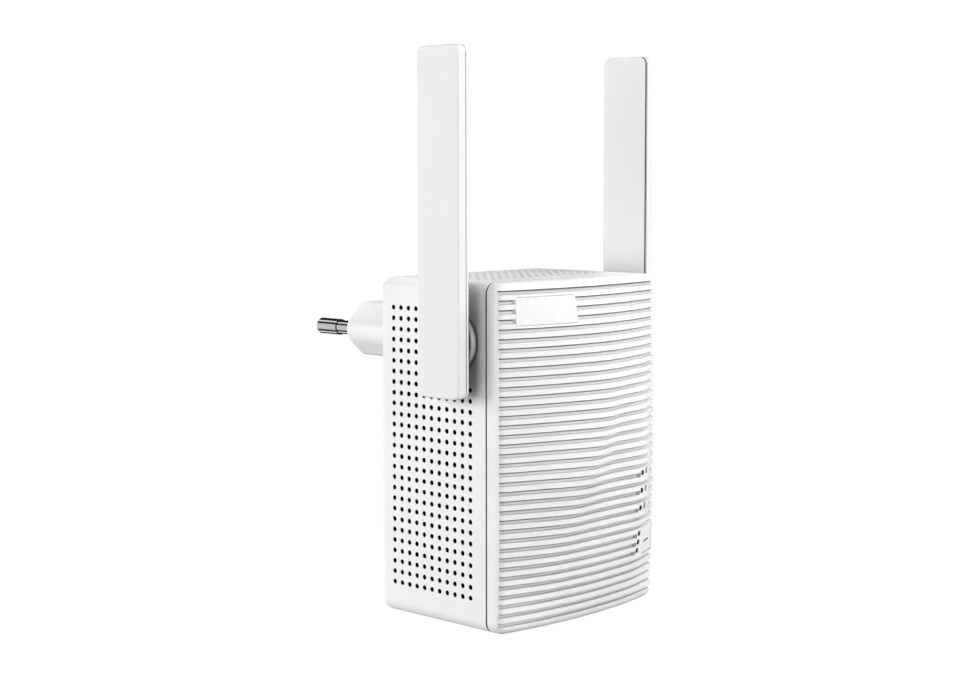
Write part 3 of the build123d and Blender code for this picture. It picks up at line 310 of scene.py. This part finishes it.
# Each painted shade holds (reach, depth) pairs for painted occlusion, whose results multiply: darker
# colour where other surfaces stand near, standing in for shade.
CASE_PAINTED_SHADE = ((1.3 * MM, 0.3), (3.5 * MM, 0.3), (11 * MM, 0.5))
SMALL_PAINTED_SHADE = ((1.5 * MM, 0.35),)
SEAM_PAINTED_SHADE = ((0.5 * MM, 0.9),)
HUB_PAINTED_SHADE = ((3 * MM, 0.5), (11 * MM, 0.5))
MATERIALS = {
    "cover_white": plastic("cover plastic", WHITE),
    "case_white": plastic("case plastic", WHITE, painted_shade=CASE_PAINTED_SHADE),
    "plug_white": plastic("plug plastic", WHITE, roughness=(0.3, 0.4)),
    "badge_white": plastic("badge plastic", WHITE, roughness=(0.22, 0.3), depth=0.006 * MM),
    "button_white": plastic("button plastic", WHITE, painted_shade=SMALL_PAINTED_SHADE),
    "antenna_white": plastic(
        "antenna plastic", (0.72, 0.72, 0.72), roughness=(0.34, 0.44), painted_shade=SEAM_PAINTED_SHADE
    ),
    # the hub is white plastic; its mid grey colour is painted shade, as is the added darkening near
    # other surfaces
    "hub_white": plastic("hub plastic", (0.5, 0.5, 0.5), roughness=(0.26, 0.34), painted_shade=HUB_PAINTED_SHADE),
    # the light guide is clear plastic; its near black colour is painted shade for the unlit inside
    # seen through the lamp windows
    "guide_clear": plastic("light guide", (0.003, 0.003, 0.003), roughness=(0.7, 0.8)),
    "mark_grey": plastic("pad print", (0.10, 0.10, 0.10), shade=0.05),
    "pin_chrome": metal("nickel plate", (0.86, 0.86, 0.85), roughness=(0.05, 0.09), depth=0.002 * MM),
    "contact_brass": metal("brass", (0.78, 0.58, 0.28), roughness=(0.25, 0.35)),
    "contact_gold": metal("gold plate", (0.85, 0.65, 0.32), roughness=(0.18, 0.28)),
    "screw_steel": metal("zinc plate", (0.62, 0.62, 0.64), roughness=(0.25, 0.4)),
    "board_green": plastic("solder mask", (0.02, 0.13, 0.05), roughness=(0.3, 0.4), shade=0.1),
    "board_tan": plastic("phenolic board", (0.42, 0.28, 0.12), roughness=(0.5, 0.6), shade=0.1),
    "element_green": plastic("element board", (0.02, 0.12, 0.05), roughness=(0.3, 0.4), shade=0.1),
    "can_tin": metal("tin plate", (0.70, 0.70, 0.70), roughness=(0.25, 0.38)),
    "chip_black": plastic("moulding compound", (0.02, 0.02, 0.022), roughness=(0.5, 0.6)),
    "pad_grey": plastic("silicone pad", (0.36, 0.42, 0.48), roughness=(0.6, 0.75)),
    "spreader_aluminium": metal("aluminium", (0.80, 0.80, 0.81), roughness=(0.3, 0.42)),
    "led_clear": plastic("lamp lens", (0.75, 0.75, 0.68), roughness=(0.1, 0.2)),
    "switch_black": plastic("switch body", (0.03, 0.03, 0.03), roughness=(0.4, 0.5)),
    "plunger_black": plastic("plunger", (0.05, 0.05, 0.05), roughness=(0.35, 0.45)),
    "jack_black": plastic("socket body", (0.025, 0.025, 0.027), roughness=(0.35, 0.45)),
    "ferrite": plastic("ferrite", (0.06, 0.06, 0.065), roughness=(0.6, 0.75), shade=0.15),
    "winding_tape": plastic("winding tape", (0.70, 0.52, 0.08), roughness=(0.3, 0.4)),
    "capacitor_sleeve": plastic("sleeve", (0.03, 0.04, 0.08), roughness=(0.2, 0.3)),
    "fuse_ceramic": plastic("ceramic", (0.75, 0.74, 0.70), roughness=(0.2, 0.3)),
    "link_white": plastic("header", (0.74, 0.73, 0.68), roughness=(0.4, 0.5)),
    "washer_nylon": plastic("nylon", (0.75, 0.73, 0.66), roughness=(0.35, 0.45)),
    "lead_grey": plastic("lead jacket", (0.25, 0.25, 0.26), roughness=(0.45, 0.55)),
}

FIRST_GROOVE_DROP = 2.01 * MM  # from the cover's top to the first groove's upper edge
GROOVE_PITCH = 2.54 * MM
RIB_SHADOW_HEIGHT = 0.6 * MM
RIB_SHADOW_DEPTH = 0.7
first_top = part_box("front_cover")[1].z - FIRST_GROOVE_DROP
deepen_rib_shadows(
    MATERIALS["cover_white"], first_top, GROOVE_PITCH, RIB_SHADOW_HEIGHT, RIB_SHADOW_DEPTH
)

COVER_PLATE = 0.85 * MM  # thickness of the plate that closes each antenna
SEAM_PLACE = 0.45  # the seam's middle and width, as shares of the plate's thickness
SEAM_WIDTH = 0.7
# painted shadow along the seam between the right antenna's plate and shell
plate_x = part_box("antenna_cover_right")[0].x
seam_x = plate_x + SEAM_PLACE * COVER_PLATE
paint_seam_shadow(MATERIALS["antenna_white"], seam_x, SEAM_WIDTH * COVER_PLATE)

CASE_RADIUS = 3.1 * MM
CASE_SKIN = 0.12 * MM  # depth in the wall at which the painted shade in a vent hole starts
CASE_ROOF = 1.5 * MM  # depth to which the top's vent holes stay white, free of the painted shade
OPEN_FRONT = Vector((0, 30 * MM, 0))  # carries the box past the case's open end, which is square
# the case's inside is painted near black as shade, so the vent holes look dark
case_low, case_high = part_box("rear_case")
paint_inside_shade(
    MATERIALS["case_white"], case_low - OPEN_FRONT, case_high, CASE_RADIUS, CASE_SKIN, CASE_ROOF
)

slot_of = {row["node"]: row["material_slot"] for row in frame["record"]["subparts"]}
for name, node in nodes.items():
    node.data.materials.clear()
    node.data.materials.append(MATERIALS[slot_of[name]])


# ---------------------------------------------------------------- stage
FLOOR_DROP = 0.75  # the part would be plugged into a wall, well above the floor
FLOOR_REACH = 30.0  # from the middle to each side
PAPER = (0.3, 0.3, 0.3)
PAPER_LIGHTER = (0.32, 0.32, 0.32)
PAPER_MOTTLE = 0.05
PAPER_ROUGHNESS = 0.9


def make_paper():
    """Paper for the floor: as white as the backdrop when looked at, and clear to reflections."""
    material, tree, shader = new_material("floor paper")
    mottle = object_noise(tree, PAPER_MOTTLE)
    vary_colour(tree, mottle, PAPER, PAPER_LIGHTER, shader.inputs["Base Color"])
    shader.inputs["Roughness"].default_value = PAPER_ROUGHNESS
    glow = tree.nodes.new("ShaderNodeEmission").outputs["Emission"]
    ray = tree.nodes.new("ShaderNodeLightPath")
    clear = tree.nodes.new("ShaderNodeBsdfTransparent").outputs["BSDF"]
    unseen = mix_shaders(tree, ray.outputs["Is Glossy Ray"], shader.outputs["BSDF"], clear)
    seen = mix_shaders(tree, ray.outputs["Is Camera Ray"], unseen, glow)
    tree.links.new(seen, tree.nodes["Material Output"].inputs["Surface"])
    return material


def make_floor():
    """A plain pale floor, far enough below that it only lights the part."""
    mesh = bpy.data.meshes.new("floor")
    height = cad_low.z - FLOOR_DROP
    corners = [(-1, -1), (1, -1), (1, 1), (-1, 1)]
    places = [(x * FLOOR_REACH, y * FLOOR_REACH, height) for x, y in corners]
    mesh.from_pydata(places, [], [(0, 1, 2, 3)])
    floor = bpy.data.objects.new("floor", mesh)
    bpy.context.scene.collection.objects.link(floor)
    floor.data.materials.append(make_paper())


def make_light(name, place, target, size, power, mirrored):
    """A soft square area light, aimed at a point, that reflections show or not."""
    data = bpy.data.lights.new(name, "AREA")
    data.shape = "SQUARE"
    data.size = size
    data.energy = power
    light = bpy.data.objects.new(name, data)
    light.location = place
    light.rotation_euler = (Vector(target) - Vector(place)).to_track_quat("-Z", "Y").to_euler()
    light.visible_glossy = mirrored
    bpy.context.scene.collection.objects.link(light)


BACKDROP = 1.0  # brightness when looked at
HORIZON, ZENITH = 0.10, 0.16  # brightness as a light, level with the part and high above it
ZENITH_START = 0.8  # height, as the Z of a direction, from which the light is the zenith's
CARD_DIRECTION = (-0.697, 0.697, -0.1)  # towards the left and behind
CARDS = [  # dot product with that direction, and brightness
    (0.0, 0.02),
    (0.42, 0.02),
    (0.50, 0.9),
    (0.60, 0.9),
    (0.67, 0.03),
    (0.84, 0.03),
    (0.88, 0.55),
    (1.0, 0.65),
]


def make_world():
    """A white backdrop that lights the part more softly than it looks, with cards in reflections.

    The cards are light and dark bands around one direction, which only the plated pins and the
    gloss on the plastics show.
    """
    world = bpy.data.worlds.new("studio")
    bpy.context.scene.world = world
    world.use_nodes = True
    tree = world.node_tree
    place = tree.nodes.new("ShaderNodeTexCoord")
    sky = tree.nodes.new("ShaderNodeValToRGB")
    sky.color_ramp.elements[0].color = grey(HORIZON)
    sky.color_ramp.elements[1].position = ZENITH_START
    sky.color_ramp.elements[1].color = grey(ZENITH)
    axes = split_axes(tree, place.outputs["Generated"])
    tree.links.new(axes.outputs["Z"], sky.inputs["Fac"])
    light = tree.nodes["Background"]
    tree.links.new(sky.outputs["Color"], light.inputs["Color"])

    towards = vector_node(tree, "NORMALIZE", place.outputs["Generated"])
    facing = tree.nodes.new("ShaderNodeVectorMath")
    facing.operation = "DOT_PRODUCT"
    facing.inputs[1].default_value = CARD_DIRECTION
    tree.links.new(towards, facing.inputs[0])
    bands = tree.nodes.new("ShaderNodeValToRGB")
    stops = bands.color_ramp.elements
    for index, (position, level) in enumerate(CARDS):
        stop = stops[index] if index < 2 else stops.new(position)  # a new ramp has two stops
        stop.position = position
        stop.color = grey(level)
    tree.links.new(facing.outputs["Value"], bands.inputs["Fac"])
    reflected = tree.nodes.new("ShaderNodeBackground")
    tree.links.new(bands.outputs["Color"], reflected.inputs["Color"])

    backdrop = tree.nodes.new("ShaderNodeBackground")
    backdrop.inputs["Color"].default_value = grey(BACKDROP)
    ray = tree.nodes.new("ShaderNodeLightPath")
    is_glossy, is_camera = ray.outputs["Is Glossy Ray"], ray.outputs["Is Camera Ray"]
    unseen = mix_shaders(tree, is_glossy, light.outputs["Background"], reflected.outputs["Background"])
    seen = mix_shaders(tree, is_camera, unseen, backdrop.outputs["Background"])
    tree.links.new(seen, tree.nodes["World Output"].inputs["Surface"])


CAMERA_PLACE = (-0.37476, -0.40701, 0.04701)
CAMERA_AZIMUTH = radians(-45.967)
CAMERA_DIP = radians(5.223)  # how far it looks down
CAMERA_ROLL = radians(-0.072)
SENSOR_WIDTH = 36.0  # millimetres, as is the focal length
FOCAL_LENGTH = 67.1
CLIP_START, CLIP_END = 0.01, 100.0


def make_camera():
    """The camera, at the front left of the part and slightly above its middle."""
    data = bpy.data.cameras.new("camera")
    data.sensor_width = SENSOR_WIDTH
    data.lens = FOCAL_LENGTH
    data.clip_start = CLIP_START
    data.clip_end = CLIP_END
    camera = bpy.data.objects.new("camera", data)
    turn = Euler((pi / 2 - CAMERA_DIP, 0, CAMERA_AZIMUTH)).to_matrix().to_4x4()
    roll = Matrix.Rotation(CAMERA_ROLL, 4, "Z")
    camera.matrix_world = Matrix.Translation(CAMERA_PLACE) @ turn @ roll
    bpy.context.scene.collection.objects.link(camera)
    bpy.context.scene.camera = camera


LAMP_REACH = 0.9  # how far the lamps stand from the part
LIGHTS = {  # direction from the part, power in watts, width of the lamp, shown in reflections
    "front high right": ((0.45, -0.55, 0.70), 5.9, 0.45, True),
    "front": ((-0.12, -0.92, 0.36), 4.6, 0.2, True),
    "left": ((-1.0, 0.0, 0.1), 2.5, 0.45, True),
    "left behind": ((-0.75, 0.65, 0.1), 6.6, 0.45, False),
    "left low": ((-0.7, 0.45, -0.55), 1.4, 0.45, False),
    "right": ((1.0, -0.1, 0.3), 1.6, 0.45, True),
    "front low right": ((0.3, -0.8, -0.6), 2.5, 0.45, True),
    "behind": ((0.35, 0.85, 0.5), 5.4, 0.45, False),
}
make_floor()
make_world()
middle = (cad_low + cad_high) / 2
for name, (direction, power, size, mirrored) in LIGHTS.items():
    place = middle + Vector(direction).normalized() * LAMP_REACH
    make_light(name, place, middle, size, power, mirrored)
make_camera()
bpy.context.scene.view_settings.view_transform = "Standard"
